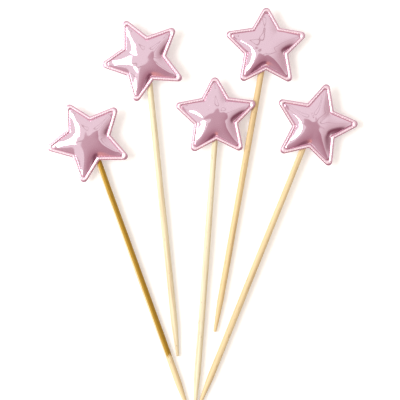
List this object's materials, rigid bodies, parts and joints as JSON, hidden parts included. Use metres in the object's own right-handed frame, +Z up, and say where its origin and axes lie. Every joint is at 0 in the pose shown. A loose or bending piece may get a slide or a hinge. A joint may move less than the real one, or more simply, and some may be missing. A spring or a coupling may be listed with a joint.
{
  "type": "cake topper set",
  "caption": "Padded metallic film stars with a welded rim, each on a sharpened bamboo stick that pushes into a cake.",
  "frame": {"origin": "middle of the set's footprint, on the table that the toppers lie on", "axes": "+Z up from the table, the way the fronts of the stars face; +Y along the fan, from the stick tips to the stars"},
  "size_m": [0.1558, 0.205, 0.009],
  "materials": {
    "pink_film": "mirror-bright metallised film in rose pink",
    "foam": "white polyurethane foam",
    "bamboo": "bare turned bamboo with a fine straight grain",
    "gold_bamboo": "bamboo with gold lacquer down to a bare lower end",
    "hot_glue": "milky set hot-melt glue"
  },
  "bodies": {
    "topper_1": {"front_film_1": "pink_film", "foam_pad_1": "foam", "back_film_1": "pink_film", "bamboo_stick_1": "gold_bamboo", "glue_cap_1": "hot_glue"},
    "topper_2": {"front_film_2": "pink_film", "foam_pad_2": "foam", "back_film_2": "pink_film", "bamboo_stick_2": "bamboo", "glue_cap_2": "hot_glue"},
    "topper_3": {"front_film_3": "pink_film", "foam_pad_3": "foam", "back_film_3": "pink_film", "bamboo_stick_3": "bamboo", "glue_cap_3": "hot_glue"},
    "topper_4": {"front_film_4": "pink_film", "foam_pad_4": "foam", "back_film_4": "pink_film", "bamboo_stick_4": "bamboo", "glue_cap_4": "hot_glue"},
    "topper_5": {"front_film_5": "pink_film", "foam_pad_5": "foam", "back_film_5": "pink_film", "bamboo_stick_5": "bamboo", "glue_cap_5": "hot_glue"}
  },
  "joints": [
    {"name": "lift_topper_1", "type": "slide", "parent": "topper_4", "child": "topper_1", "axis": [0, 0, 1], "range_m": [0, 0.06]},
    {"name": "lift_topper_2", "type": "slide", "parent": "topper_4", "child": "topper_2", "axis": [0, 0, 1], "range_m": [0, 0.06]},
    {"name": "lift_topper_3", "type": "slide", "parent": "topper_4", "child": "topper_3", "axis": [0, 0, 1], "range_m": [0, 0.06]},
    {"name": "lift_topper_5", "type": "slide", "parent": "topper_4", "child": "topper_5", "axis": [0, 0, 1], "range_m": [0, 0.06]}
  ]
}
